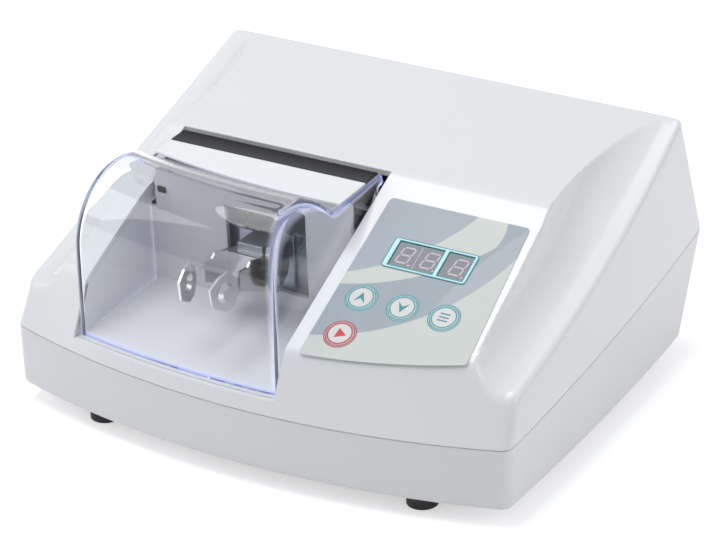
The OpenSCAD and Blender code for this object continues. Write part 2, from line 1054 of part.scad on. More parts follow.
// one strip with its claw, drawn on the right and mirrored for the left
module fork_side() {
    difference() {
        union() {
            intersection() {
                translate([0, 0, 40])
                    linear_extrude(50)
                        strip_plan();
                from_side(0, 20)
                    polygon([[-32, 54], [-32, 71], [-43.9, 73.6], [-52.1, 75.6], [-54.5, 73.8], [-61, 74.6],
                        [-66, 73.9], [-66, 67], [-61, 65.4], [-36, 53]]);
            }
            on_claw(-fork_t / 2)
                linear_extrude(fork_t)
                    polygon(claw_edge);
            on_claw(-0.3)
                cylinder(h = 2.7, r1 = 5.2, r2 = 3.2);
        }
        on_claw(-1.6)
            cylinder(h = 2.9, r1 = 5, r2 = 2.6);
        translate([0, knob_y, knob_z])
            rotate([0, 90, 0])
                cylinder(h = 40, r = 2.1);
    }
}

module spring_fork() {
    color([0.82, 0.82, 0.84])
        translate([arm_x, 0, 0])
            union() {
                fork_side();
                mirror([1, 0, 0])
                    fork_side();
                translate([-fork_w / 2, -43 - fork_t, 61])
                    cube([fork_w, fork_t, 12]);
            }
}

module fork_screw() {
    color([0.6, 0.6, 0.63])
        translate([arm_x - fork_w / 2 - fork_t / 2 - 2.6, knob_y, knob_z])
            rotate([0, 90, 0])
                difference() {
                    union() {
                        cylinder(h = 2.6, r = 4);
                        cylinder(h = fork_w + 6.6, r = 2);
                    }
                    translate([0, 0, -1])
                        cylinder(h = 2.6, r = 2, $fn = 6);
                }
}

module fork_knob() {
    color([0.06, 0.06, 0.08])
        translate([arm_x + fork_w / 2 + fork_t / 2, knob_y, knob_z])
            rotate([0, 90, 0])
                difference() {
                    union() {
                        cylinder(h = 3.4, r = 9.6);
                        translate([0, 0, 3.4])
                            cylinder(h = 1.2, r1 = 9.6, r2 = 8.2);
                    }
                    translate([0, 0, -1])
                        cylinder(h = 8, r = 2.05);
                    for (k = [0:11])
                        rotate([0, 0, 30 * k])
                            translate([10.6, 0, -1])
                                cylinder(h = 8, r = 1.6);
                }
}

module restraint_block() {
    color([0.07, 0.07, 0.08])
        translate([arm_x, shaft_y, plate_z + plate_t])
            rotate_extrude()
                polygon([[0, 0], [9, 0], [9, 2], [6.5, 5], [9, 8], [9, 10.3], [0, 10.3]]);
}

module transformer() {
    color([0.35, 0.36, 0.38])
        difference() {
            translate([-115, 14, base_z + wall])
                cube([34, 44, 38]);
            for (y = [20, 40])
                translate([-116, y, base_z + wall + 7])
                    cube([40, 12, 24]);
        }
}

module transformer_windings() {
    color([0.8, 0.7, 0.3])
        translate([-118, 20.3, base_z + wall + 7.3])
            difference() {
                cube([40, 31.4, 23.4]);
                translate([-1, 11.4, -1])
                    cube([42, 8.6, 30]);
            }
}

module power_board() {
    color([0.1, 0.33, 0.2])
        difference() {
            translate([26, -75, base_z + 8])
                cube([74, 52, 1.6]);
            for (p = power_board_pos)
                translate([p[0], p[1], base_z + 7])
                    cylinder(h = 5, r = 1.6);
        }
}

module board_parts() {
    color([0.2, 0.2, 0.25])
        translate([0, 0, base_z + 9.6]) {
            translate([46, -66, 0])
                cylinder(h = 16, r = 6);
            translate([60, -66, 0])
                cylinder(h = 12, r = 5);
            translate([44, -50, 0])
                cube([19, 15, 14]);
            translate([72, -56, 0])
                cube([10, 26, 20]);
            translate([88, -66, 0])
                cube([8, 30, 9]);
        }
}

module mains_inlet() {
    color([0.07, 0.07, 0.08])
        on_rear(inlet_x, inlet_z)
            difference() {
                union() {
                    translate([-29, 0, -15.5])
                        cube([58, 2.4, 31]);
                    translate([-23.5, -24, -13.5])
                        cube([47, 24, 27]);
                }
                // socket with two clipped corners
                translate([-2.5, 3, 0])
                    rotate([90, 0, 0])
                        linear_extrude(20)
                            polygon([[-12.2, -10], [12.2, -10], [12.2, 6.5],
                                [8.7, 10], [-8.7, 10], [-12.2, 6.5]]);
                // opening of the rocker
                translate([11.6, -13, -10.6])
                    cube([11, 20, 21.2]);
                translate([10.9, rocker_y, 0])
                    rotate([0, 90, 0])
                        cylinder(h = 12.3, r = pivot_r + run_gap);
                // fuse drawer
                translate([-22.5, -21, -10])
                    cube([6, 30, 20]);
            }
}

module inlet_pins() {
    color([0.85, 0.78, 0.5])
        on_rear(inlet_x, inlet_z)
            for (p = [[-7, -2], [0, 3], [7, -2]])
                translate([-2.5 + p[0] - 1, -17, p[1] - 2])
                    cube([2, 13, 4]);
}

module fuse_drawer() {
    color([0.1, 0.1, 0.11])
        on_rear(inlet_x, inlet_z)
            difference() {
                union() {
                    translate([-22.2, -20, -9.7])
                        cube([5.4, 22.4, 19.4]);
                    translate([-22.2, 2.4, -9.7])
                        cube([5.4, 1, 19.4]);
                }
                translate([-23, -18, -8])
                    cube([4.4, 14, 16]);
                translate([-23, 2.6, -2])
                    cube([8, 4, 4]);
            }
}

rocker_y = -4;
rocker_tilt = 8;
pivot_r = 1.6;

module power_rocker() {
    color([0.1, 0.1, 0.11])
        on_rear(inlet_x, inlet_z)
            translate([11.9, rocker_y, 0])
                rotate([-rocker_tilt, 0, 0])
                    union() {
                        from_side(0, 10.4)
                            polygon([[-5, -6], [2, -9.7], [6.2, -9.7],
                                [5, 0], [6.2, 9.7], [2, 9.7], [-5, 6]]);
                        translate([-0.8, 0, 0])
                            rotate([0, 90, 0])
                                cylinder(h = 11.9, r = pivot_r);
                    }
}

upper_shell();
lower_shell();
chamber_tub();
feet();
foot_screws();
housing_screws();
lid_cover();
lid_strip();
hinge_bar();
lid_magnet();
hinge_pins();
interlock_sensor();
overlay();
display_frame();
display_pane();
display_double();
display_single();
control_board();
board_screws();
key_switches();
key_up();
key_down();
key_mode();
key_start();
rubber_mounts();
base_plate();
motor_plate();
motor_screws();
outboard_plate();
shield_plate();
motor_can();
stator_magnets();
motor_rear_cap();
brush_blocks();
rotor_shaft();
rotor_core();
rotor_windings();
commutator();
cooling_fan();
tilted_sleeve();
bearing_inner();
bearing_balls();
bearing_outer();
swing_arm();
arm_shield();
hub_cap();
cap_screws();
spring_fork();
fork_screw();
fork_knob();
restraint_block();
transformer();
transformer_windings();
power_board();
board_parts();
mains_inlet();
inlet_pins();
fuse_drawer();
power_rocker();
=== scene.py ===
import json
import math

import bmesh
import bpy
import numpy as np
from mathutils import Matrix, Vector, kdtree


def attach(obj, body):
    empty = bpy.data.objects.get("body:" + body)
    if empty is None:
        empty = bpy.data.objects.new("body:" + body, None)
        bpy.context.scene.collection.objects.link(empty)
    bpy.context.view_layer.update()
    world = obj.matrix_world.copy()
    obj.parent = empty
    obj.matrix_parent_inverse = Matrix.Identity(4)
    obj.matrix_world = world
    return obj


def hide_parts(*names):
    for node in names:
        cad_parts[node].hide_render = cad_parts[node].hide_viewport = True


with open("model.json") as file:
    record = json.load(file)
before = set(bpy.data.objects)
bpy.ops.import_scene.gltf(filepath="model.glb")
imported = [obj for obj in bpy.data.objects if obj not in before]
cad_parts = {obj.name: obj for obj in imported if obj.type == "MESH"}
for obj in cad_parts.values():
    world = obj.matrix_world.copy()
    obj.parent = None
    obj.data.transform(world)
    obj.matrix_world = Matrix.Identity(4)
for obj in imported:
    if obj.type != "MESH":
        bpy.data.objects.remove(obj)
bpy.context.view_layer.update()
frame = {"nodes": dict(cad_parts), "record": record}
nodes = frame["nodes"]
scene = bpy.context.scene
mm = 0.001

# helpers


pegSides = 48


def newObject(name, data):
    obj = bpy.data.objects.new(name, data)
    scene.collection.objects.link(obj)
    return obj


# a mesh from worked-out points in millimetres
def meshFrom(name, points, faces, smooth=True):
    mesh = bpy.data.meshes.new(name)
    mesh.from_pydata([[c * mm for c in p] for p in points], [], faces)
    bm = bmesh.new()
    bm.from_mesh(mesh)
    bmesh.ops.recalc_face_normals(bm, faces=bm.faces)
    bm.to_mesh(mesh)
    bm.free()
    if smooth:
        mesh.shade_smooth()
    return mesh


def gridFaces(rows, cols, closed=False, first=0):
    faces = []
    for r in range(rows - 1):
        for c in range(cols if closed else cols - 1):
            d = (c + 1) % cols
            a = first + r * cols
            b = a + cols
            faces.append([a + c, a + d, b + d, b + c])
    return faces


# a bmesh in millimetres becomes an object; place may first carry its points onto a slope
def objectFrom(name, bm, place=None):
    for vertex in bm.verts:
        if place:
            vertex.co = Vector(place(*vertex.co))
        vertex.co *= mm
    bmesh.ops.recalc_face_normals(bm, faces=bm.faces)
    mesh = bpy.data.meshes.new(name)
    bm.to_mesh(mesh)
    bm.free()
    return newObject(name, mesh)


def addBlock(bm, low, high):
    middle = (Vector(low) + Vector(high)) / 2
    size = Vector(high) - Vector(low)
    bmesh.ops.create_cube(bm, size=1, matrix=Matrix.Translation(middle) @ Matrix.Diagonal((*size, 1)))


# a block to cut with, its corners exactly as given
def block(name, low, high, place=lambda *corner: corner):
    points = [place(x, y, z) for x in (low[0], high[0]) for y in (low[1], high[1]) for z in (low[2], high[2])]
    faces = [[0, 1, 3, 2], [4, 6, 7, 5], [0, 4, 5, 1], [2, 3, 7, 6], [0, 2, 6, 4], [1, 5, 7, 3]]
    return newObject(name, meshFrom(name, points, faces, smooth=False))


# a round bar between two heights on an axis through center
def peg(name, center, radius, low, high, axis=(0, 0, 1)):
    axis = Vector(axis).normalized()
    side = axis.orthogonal().normalized()
    turn = Matrix((axis.cross(side), side, axis)).transposed().to_4x4()
    middle = Matrix.Translation(Vector(center) + axis * (low + high) / 2)
    bm = bmesh.new()
    bmesh.ops.create_cone(
        bm, cap_ends=True, segments=pegSides, radius1=radius, radius2=radius,
        depth=high - low, matrix=middle @ turn,
    )
    return objectFrom(name, bm)


def combine(obj, cutters, operation):
    for cutter in cutters:
        mod = obj.modifiers.new("cut", "BOOLEAN")
        mod.operation = operation
        mod.solver = "EXACT"
        mod.object = cutter
    bpy.context.view_layer.update()
    depsgraph = bpy.context.evaluated_depsgraph_get()
    result = bpy.data.meshes.new_from_object(obj.evaluated_get(depsgraph))
    obj.modifiers.clear()
    obj.data = result
    for cutter in cutters:
        bpy.data.objects.remove(cutter)


def softShade(obj, angle):
    obj.data.shade_smooth()
    obj.data.set_sharp_from_angle(angle=math.radians(angle))


# a finished piece takes its material, its body and the CAD node that it replaces
def finishPiece(obj, slot, body, node):
    obj.data.materials.clear()
    obj.data.materials.append(paint[slot].material)
    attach(obj, body)
    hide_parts(node)


def smoothMin(a, b, k):
    h = np.clip(0.5 + 0.5 * (b - a) / k, 0, 1)
    return b * (1 - h) + a * h - k * h * (1 - h)


# a point on the curve from a to c that is drawn toward b
def curve(a, b, c, t):
    return (1 - t) ** 2 * a + 2 * t * (1 - t) * b + t * t * c


# shading


class Value:
    def __init__(self, shade, socket):
        self.shade = shade
        self.socket = socket

    def math(self, kind, other=None, swap=False):
        first, second = (other, self) if swap else (self, other)
        inputs = {0: first}
        if other is not None:
            inputs[1] = second
        return self.shade.value("ShaderNodeMath", inputs, operation=kind)

    def __add__(self, other):
        return self.math("ADD", other)

    def __radd__(self, other):
        return self.math("ADD", other, True)

    def __sub__(self, other):
        return self.math("SUBTRACT", other)

    def __rsub__(self, other):
        return self.math("SUBTRACT", other, True)

    def __mul__(self, other):
        return self.math("MULTIPLY", other)

    def __rmul__(self, other):
        return self.math("MULTIPLY", other, True)

    def __truediv__(self, other):
        return self.math("DIVIDE", other)

    def less(self, other):
        return self.math("LESS_THAN", other)

    def more(self, other):
        return self.math("GREATER_THAN", other)

    def high(self, other):
        return self.math("MAXIMUM", other)

    def low(self, other):
        return self.math("MINIMUM", other)

    def size(self):
        return self.math("ABSOLUTE")


class Nodes:
    def __init__(self, tree):
        self.tree = tree
        tree.nodes.clear()

    def add(self, kind, inputs=None, **settings):
        node = self.tree.nodes.new(kind)
        for key, setting in settings.items():
            setattr(node, key, setting)
        for key, given in (inputs or {}).items():
            self.feed(node.inputs[key], given)
        return node

    def feed(self, socket, given):
        if isinstance(given, Value):
            given = given.socket
        if isinstance(given, bpy.types.NodeSocket):
            self.tree.links.new(given, socket)
        else:
            socket.default_value = given

    def value(self, kind, inputs=None, out=0, **settings):
        return Value(self, self.add(kind, inputs, **settings).outputs[out])

    # which kinds of ray see the surface, 1 for any of the named ones
    def seenBy(self, *kinds):
        rays = self.add("ShaderNodeLightPath")
        seen = Value(self, rays.outputs[kinds[0]])
        for kind in kinds[1:]:
            seen = seen.high(Value(self, rays.outputs[kind]))
        return seen


class Shade(Nodes):
    def __init__(self, name, color=(0.8, 0.8, 0.8), roughness=0.4, **sockets):
        self.material = bpy.data.materials.new(name)
        self.material.use_nodes = True
        super().__init__(self.material.node_tree)
        inputs = {"Base Color": (*color, 1), "Roughness": roughness, **sockets}
        self.surface = self.add("ShaderNodeBsdfPrincipled", inputs)
        self.output = self.add("ShaderNodeOutputMaterial", {"Surface": self.surface.outputs["BSDF"]})

    # another shader takes the place of the surface for some rays
    def mixIn(self, factor, shader):
        mixed = self.add("ShaderNodeMixShader", {0: factor, 1: self.surface.outputs[0], 2: shader.outputs[0]})
        self.feed(self.output.inputs["Surface"], mixed.outputs[0])

    def place(self):
        return self.value("ShaderNodeTexCoord", out="Object")

    def noise(self, scale, detail):
        return self.value("ShaderNodeTexNoise", {"Vector": self.place(), "Scale": scale, "Detail": detail})

    def split(self):
        node = self.add("ShaderNodeSeparateXYZ", {"Vector": self.place()})
        return [Value(self, out) / mm for out in node.outputs]

    def mixColor(self, factor, a, b):
        node = self.add("ShaderNodeMix", data_type="RGBA")
        for index, given in ((0, factor), (6, a), (7, b)):
            self.feed(node.inputs[index], (*given, 1) if isinstance(given, tuple) else given)
        return Value(self, node.outputs[2])

    def set(self, name, given):
        self.feed(self.surface.inputs[name], given)

    # a fine grain, over edges that look rounded where a radius is given
    def grain(self, scale, strength, radius=None):
        inputs = {"Height": self.noise(scale, 3.0), "Strength": strength, "Distance": 0.0002}
        if radius:
            inputs["Normal"] = self.value("ShaderNodeBevel", {"Radius": radius}, samples=6)
        self.set("Normal", self.value("ShaderNodeBump", inputs))


def plastic(name, color, roughness, scale=900, bump=0.05, radius=None, coat=0.0):
    shade = Shade(name, color, roughness, **{"Coat Weight": coat, "Coat Roughness": 0.1})
    spots = shade.noise(40, 3.0)
    shade.set("Roughness", roughness - 0.03 + 0.06 * spots)
    shade.set("Base Color", shade.mixColor(spots, color, tuple(c * 0.985 for c in color)))
    shade.grain(scale, bump, radius)
    return shade


def metal(name, color, roughness, scale=700, radius=0.0003):
    shade = Shade(name, color, roughness, Metallic=1.0)
    spots = shade.noise(120, 4.0)
    shade.set("Roughness", roughness - 0.06 + 0.12 * spots)
    shade.set("Base Color", shade.mixColor(spots, color, tuple(c * 0.88 for c in color)))
    shade.grain(scale, 0.08, radius)
    return shade


print("helpers ready")

# camera, light and floor

cameraView = {
    "azimuth": 30.04, "elevation": 27.51, "roll": -1.56, "distance": 1412.48,
    "target": (0, 9.1, 70), "shift": (-1.48, -19.33), "lens": 158.49,
}


def placeCamera(view):
    az, el, roll = (math.radians(view[k]) for k in ("azimuth", "elevation", "roll"))
    back = Vector((math.sin(az) * math.cos(el), -math.cos(az) * math.cos(el), math.sin(el)))
    right = Vector((math.cos(az), math.sin(az), 0))
    up = back.cross(right)
    place = Vector(view["target"]) + back * view["distance"]
    place += right * view["shift"][0] + up * view["shift"][1]
    turnedRight = math.cos(roll) * right + math.sin(roll) * up
    turnedUp = -math.sin(roll) * right + math.cos(roll) * up
    turn = Matrix((turnedRight, turnedUp, back)).transposed().to_4x4()
    data = bpy.data.cameras.new("camera")
    data.lens = view["lens"]
    data.sensor_width = 36
    data.clip_start = 0.05
    data.clip_end = 30
    camera = newObject("camera", data)
    camera.matrix_world = Matrix.Translation(place * mm) @ turn
    scene.camera = camera


placeCamera(cameraView)
scene.render.resolution_x = 720
scene.render.resolution_y = 539
scene.view_settings.view_transform = "Standard"

lamps = [
    {"name": "top", "place": (-0.42, 0.0, 1.7), "aim": (0, 0, 0.05), "size": (1.3, 1.0), "power": 16.5},
    {"name": "left", "place": (-1.8, -0.9, 1.05), "aim": (0, 0, 0.06), "size": (1.2, 1.4), "power": 9},
    {"name": "right", "place": (1.9, 0.2, 1.0), "aim": (0, 0, 0.06), "size": (1.2, 1.4), "power": 9},
    {"name": "front", "place": (0.4, -2.0, 0.8), "aim": (0, 0, 0.06), "size": (1.8, 0.9), "power": 0.8},
]
for lamp in lamps:
    light = bpy.data.lights.new(lamp["name"], "AREA")
    light.shape = "RECTANGLE"
    light.size, light.size_y = lamp["size"]
    light.energy = lamp["power"]
    light.color = (0.965, 0.985, 1)
    obj = newObject(lamp["name"], light)
    obj.location = lamp["place"]
    obj.rotation_euler = (Vector(lamp["aim"]) - obj.location).to_track_quat("-Z", "Y").to_euler()

world = bpy.data.worlds.new("studio")
scene.world = world
world.use_nodes = True
sky = Nodes(world.node_tree)
soft = sky.add("ShaderNodeBackground", {"Color": (0.98, 0.985, 1, 1), "Strength": 0.42})
bright = sky.add("ShaderNodeBackground", {"Color": (1, 1, 1, 1), "Strength": 1})
toCamera = sky.seenBy("Is Camera Ray")
mixed = sky.add("ShaderNodeMixShader", {0: toCamera, 1: soft.outputs[0], 2: bright.outputs[0]})
sky.add("ShaderNodeOutputWorld", {"Surface": mixed.outputs[0]})

floorShade = Shade("floor", (0.82, 0.82, 0.83), 0.9)
glow = floorShade.add("ShaderNodeEmission", {"Color": (1, 1, 1, 1), "Strength": 0.5})
lit = floorShade.add("ShaderNodeAddShader", {0: floorShade.surface.outputs[0], 1: glow.outputs[0]})
floorShade.mixIn(floorShade.seenBy("Is Camera Ray", "Is Transmission Ray", "Is Glossy Ray"), lit)
bm = bmesh.new()
bmesh.ops.create_grid(bm, x_segments=1, y_segments=1, size=8000)
floor = objectFrom("floor", bm)
floor.data.materials.append(floorShade.material)
print("camera, light and floor ready")

# materials

paint = {
    "shell_white": plastic("shellWhite", (0.80, 0.812, 0.825), 0.26, 1600, 0.02, 0.0006, 0.3),
    "base_white": plastic("baseWhite", (0.76, 0.766, 0.778), 0.34, 1600, 0.02, 0.0008, 0.1),
    "tub_white": plastic("tubWhite", (0.78, 0.782, 0.81), 0.4, 1600, 0.01, 0.0008),
    "black_rubber": plastic("blackRubber", (0.012, 0.012, 0.014), 0.6, 900, 0.2, 0.0005),
    "zinc_steel": metal("zincSteel", (0.62, 0.62, 0.64), 0.32),
    "strip_white": plastic("stripWhite", (0.87, 0.885, 0.9), 0.25, 300, 0.01),
    "bar_dark": plastic("barDark", (0.03, 0.032, 0.04), 0.25, 300, 0.02, 0.0003),
    "overlay_film": plastic("overlayFilm", (0.5, 0.56, 0.6), 0.42, 300, 0.01),
    "frame_teal": plastic("frameTeal", (0.55, 0.78, 0.8), 0.4, 300, 0.01),
    "window_dark": plastic("windowDark", (0.03, 0.035, 0.045), 0.15, 300, 0.01),
    "digit_grey": plastic("digitGrey", (0.1, 0.1, 0.11), 0.4),
    "board_green": plastic("boardGreen", (0.015, 0.09, 0.04), 0.35),
    "black_plastic": plastic("blackPlastic", (0.015, 0.015, 0.018), 0.4, 700, 0.1, 0.0004),
    "key_pale": plastic("keyPale", (0.66, 0.76, 0.77), 0.4, 300, 0.01, 0.0003),
    "plate_steel": metal("plateSteel", (0.47, 0.48, 0.58), 0.36, 300),
    "can_steel": metal("canSteel", (0.4, 0.42, 0.45), 0.35, 300),
    "ferrite": plastic("ferrite", (0.03, 0.03, 0.033), 0.6),
    "core_steel": metal("coreSteel", (0.3, 0.3, 0.32), 0.45, 1500),
    "copper": metal("copper", (0.72, 0.33, 0.16), 0.35, 900),
    "ground_steel": metal("groundSteel", (0.68, 0.69, 0.71), 0.18),
    "arm_alloy": metal("armAlloy", (0.66, 0.67, 0.7), 0.34, 500, 0.0006),
    "spring_steel": metal("springSteel", (0.72, 0.71, 0.71), 0.2, 200, 0.0003),
    "winding_tape": plastic("windingTape", (0.5, 0.38, 0.08), 0.5),
    "brass_pin": metal("brassPin", (0.6, 0.5, 0.3), 0.3),
}

# the lid's clear plastic, by the weight stored on its points, is tinted blue along its edges and has a
# painted blue glow there
clear = Shade("clearPlastic", (0.97, 0.98, 1.0), 0.015, **{"Transmission Weight": 1.0, "IOR": 1.46})
clear.set("Emission Strength", 1.0)
rim = clear.value("ShaderNodeAttribute", out="Fac", attribute_name="rim")
# colours of the painted glow along the lid's bends and edges
bend, edge = (0.5, 0.52, 0.64), (0.05, 0.06, 0.15)
clear.set("Base Color", clear.mixColor(rim, (0.97, 0.98, 1.0), (0.5, 0.54, 0.72)))
clear.set("Emission Color", clear.mixColor(rim, (0.0, 0.0, 0.0), clear.mixColor(rim, bend, edge)))
through = clear.add("ShaderNodeBsdfTransparent", {"Color": (0.945, 0.95, 0.965, 1)})
clear.mixIn(clear.seenBy("Is Shadow Ray", "Is Diffuse Ray"), through)
paint["clear_plastic"] = clear

slotOf = {s["node"]: s["material_slot"] for s in frame["record"]["subparts"]}
for name, obj in nodes.items():
    obj.data.materials.clear()
    obj.data.materials.append(paint[slotOf[name]].material)

# painted light on the bar: it is darker towards its rear, a painted shade, and lighter at its front, a
# painted reflection
barShade = paint["bar_dark"]
barShade.set("Specular IOR Level", 0.2)
toRear = ((barShade.split()[1] + 14) / 11).low(1).high(0)
barShade.set("Base Color", barShade.mixColor(toRear, (0.055, 0.056, 0.06), (0.002, 0.002, 0.003)))
print("materials on", len(nodes), "nodes")

# housing: two moulded shells lofted round the same outline, with soft edges
housing = {
    "bow": 420, "bowY": 314.17, "frontLean": 0.519, "frontY": -87.6, "corner": 4.5,
    "flank": 1570, "flankX": 1444.5, "flankY": 9.1, "sideLean": 0.12, "lowerLean": -0.015,
    "rearY": 105.8, "rearZ": 54.3, "rearSlope": 0.1898, "rearCorner": 3.5,
    "partZ": 37.5, "partSlope": 0.0869, "footY": 82, "footZ": 8, "wall": 2.5,
    "topY": 95, "topZ": 111.2, "topSlope": 0.08, "creaseSoft": 1.1, "channelSoft": 0.9,
    "shoulderY": -79.5, "shoulderRun": 174.5, "shoulderZ": 56.8, "shoulderRise": 54.4, "sag": 3.6,
    "edgeX": 118.5, "edgeIn": 3.6, "channel": 23, "steep": 0.95,
    "channelWide": [(0.08, 18.8), (0.25, 17.7), (0.42, 17.4), (0.62, 20.6)],
    "lip": [(-60, 3.6), (0, 2.6), (80, 2.4), (95, 1.9)],
}
panelPlane = {"y": -10, "z": 98.2, "slope": 0.44}
panelTilt = math.atan(panelPlane["slope"])
cornerTurns = [k / 8 for k in range(1, 8)]


# shares of half the width, closer together where the channel's wall is steep
def sampleAcross(fine):
    if fine:
        half = [0.985 - 0.009 * k for k in range(12)] + [0.88 - 0.0045 * k for k in range(27)]
        half += [0.754 - 0.009 * k for k in range(18)] + [0.58 - 0.04 * k for k in range(14)] + [0.02]
    else:
        half = [0.9815, 0.955, 0.925, 0.89, 0.86, 0.835, 0.817, 0.805, 0.797, 0.79]
        half += [0.78, 0.76, 0.73, 0.68, 0.61, 0.52, 0.42, 0.3, 0.18, 0.06]
    return [-f for f in half] + half[::-1]


samples = {"across": sampleAcross(True), "along": [k / 124 for k in range(125)]}


def partingZ(y):
    return housing["partZ"] + housing["partSlope"] * (y - housing["frontY"])


# the lowest of the flat top, the sloping console and the coved channels at both sides
def roofHeight(x, y, inset=0.0):
    top = housing["topZ"] + housing["topSlope"] * (y - housing["topY"]) - 1.003 * inset
    console = panelPlane["z"] + panelPlane["slope"] * (y - panelPlane["y"]) - 1.09 * inset
    roof = smoothMin(top, console, housing["creaseSoft"])
    t = (y - housing["shoulderY"]) / housing["shoulderRun"]
    shoulder = housing["shoulderZ"] + housing["shoulderRise"] * t - housing["sag"] * 4 * t * (1 - t)
    reach = np.clip(housing["edgeX"] - housing["edgeIn"] * t - np.abs(x), 0, None)
    deep = housing["channel"] + inset
    wide = np.interp(t, *zip(*housing["channelWide"])) + inset
    steep = housing["steep"]
    hollow = shoulder + housing["channel"] - deep * np.sqrt(1 - (steep * np.minimum(reach / wide, 1)) ** 2)
    beyond = np.maximum(reach - wide, 0)
    hollow = hollow + beyond * deep * steep * steep / wide / math.sqrt(1 - steep * steep)
    return smoothMin(roof, hollow, housing["channelSoft"])


def rearLine(z, upper):
    if upper:
        return housing["rearY"] - housing["rearSlope"] * (z - housing["rearZ"])
    slope = (housing["rearY"] - housing["footY"]) / (housing["rearZ"] - housing["footZ"])
    return housing["footY"] + slope * (z - housing["footZ"])


# one point for each sample of the outline, each at its own height z
def outlineAt(z, upper, inset):
    count = 2 * (len(samples["across"]) + len(samples["along"])) + 4 * len(cornerTurns)
    z = np.broadcast_to(np.asarray(z, float), (count,)).copy()
    y = samples.get("lastY", np.zeros(count)).copy()
    frontLean, sideLean = (housing["frontLean"], housing["sideLean"]) if upper else (0, housing["lowerLean"])
    for _ in range(6):
        h = z - partingZ(y)
        front = housing["bow"] - inset - frontLean * h
        side = housing["flank"] - inset - sideLean * h
        rear = rearLine(z, upper) - inset * 1.1
        cx = np.full(count, 120.0)
        for _ in range(6):
            cy = housing["bowY"] - np.sqrt(front ** 2 - cx ** 2)
            cx = np.sqrt(side ** 2 - (cy - housing["flankY"]) ** 2) - housing["flankX"]
        rx = np.sqrt(side ** 2 - (rear - housing["flankY"]) ** 2) - housing["flankX"]
        r = max(housing["corner"] - inset, 2.5)
        rr = max(housing["rearCorner"] - inset, 1.5)
        pts = np.zeros((count, 2))
        k = 0

        def frontPoint(f, i):
            x = f * (cx[i] - r) if abs(f) < 0.97 else math.copysign(cx[i] - r, f)
            return x, housing["bowY"] - math.sqrt(front[i] ** 2 - x * x)

        def sidePoint(g, i, sign):
            yy = cy[i] + r + g * (rear[i] - rr - cy[i] - r)
            return sign * (math.sqrt(side[i] ** 2 - (yy - housing["flankY"]) ** 2) - housing["flankX"]), yy

        def backPoint(f, i):
            return f * (rx[i] - rr) if abs(f) < 0.97 else math.copysign(rx[i] - rr, f), rear[i]

        def bend(a, b, c, t):
            return tuple(curve(a[j], b[j], c[j], t) for j in (0, 1))

        for f in samples["across"]:
            pts[k] = frontPoint(f, k)
            k += 1
        for t in cornerTurns:
            pts[k] = bend(frontPoint(1, k), (cx[k], cy[k]), sidePoint(0, k, 1), t)
            k += 1
        for g in samples["along"]:
            pts[k] = sidePoint(g, k, 1)
            k += 1
        for t in cornerTurns:
            pts[k] = bend(sidePoint(1, k, 1), (rx[k], rear[k]), backPoint(1, k), t)
            k += 1
        for f in samples["across"][::-1]:
            pts[k] = backPoint(f, k)
            k += 1
        for t in cornerTurns:
            pts[k] = bend(backPoint(-1, k), (-rx[k], rear[k]), sidePoint(1, k, -1), t)
            k += 1
        for g in samples["along"][::-1]:
            pts[k] = sidePoint(g, k, -1)
            k += 1
        for t in cornerTurns:
            pts[k] = bend(sidePoint(0, k, -1), (-cx[k], cy[k]), frontPoint(-1, k), t)
            k += 1
        y = pts[:, 1]
    samples["lastY"] = y
    return np.column_stack([pts, z])


def inwardOf(ring):
    step = np.roll(ring, -1, 0) - np.roll(ring, 1, 0)
    step = step[:, :2] / np.linalg.norm(step[:, :2], axis=1)[:, None]
    return np.column_stack([-step[:, 1], step[:, 0]])


# rings from inner to outer that round off the corner at edge
def roundedRings(edge, inner, outer, steps=5):
    return [curve(inner, edge, outer, k / steps) for k in range(steps + 1)]


def upperForm(inset, skirt):
    ring = outlineAt(70, True, inset)
    for _ in range(14):
        ring = outlineAt(roofHeight(ring[:, 0], ring[:, 1], inset), True, inset)
    lip = ring
    inward = inwardOf(lip)
    soft = np.interp(lip[:, 1], *zip(*housing["lip"]))
    soft = np.maximum(soft - inset, 1.2)[:, None]
    plan = lip[:, :2] + inward * soft
    inner = np.column_stack([plan, roofHeight(plan[:, 0], plan[:, 1], inset)])
    wall = outlineAt(lip[:, 2] - soft[:, 0] * 0.9, True, inset)
    rings = roundedRings(lip, inner, wall)
    foot = outlineAt(partingZ(lip[:, 1]), True, inset)
    for _ in range(3):
        foot = outlineAt(partingZ(foot[:, 1]) - skirt, True, inset)
    rows = 10
    for k in range(1, rows + 1):
        rings.append(outlineAt(wall[:, 2] + (foot[:, 2] - wall[:, 2]) * k / rows, True, inset))
    return rings, inner


# a grid of points on the roof inside the ring; its corners are the middles of the ring's rounded corners
def quadTop(inner, inset):
    cols, rows = (len(samples[k]) + len(cornerTurns) + 1 for k in ("across", "along"))
    count = len(inner)
    ids = [(count - 4 + k) % count for k in range(count)]
    grid = [[None] * cols for _ in range(rows)]
    k = 0
    for c in range(cols):
        grid[0][c] = ids[k]
        k += 1
    for r in range(1, rows):
        grid[r][cols - 1] = ids[k]
        k += 1
    for c in range(cols - 2, -1, -1):
        grid[rows - 1][c] = ids[k]
        k += 1
    for r in range(rows - 2, 0, -1):
        grid[r][0] = ids[k]
        k += 1
    place = np.zeros((rows, cols, 3))
    for r in range(rows):
        for c in range(cols):
            if grid[r][c] is not None:
                place[r, c] = inner[grid[r][c]]
    for r in range(1, rows - 1):
        v = r / (rows - 1)
        for c in range(1, cols - 1):
            u = c / (cols - 1)
            p = (1 - v) * place[0, c] + v * place[-1, c] + (1 - u) * place[r, 0] + u * place[r, -1]
            front = (1 - u) * (1 - v) * place[0, 0] + u * (1 - v) * place[0, -1]
            p -= front + (1 - u) * v * place[-1, 0] + u * v * place[-1, -1]
            place[r, c] = p
    place[1:-1, 1:-1, 2] = roofHeight(place[1:-1, 1:-1, 0], place[1:-1, 1:-1, 1], inset)
    return grid, place


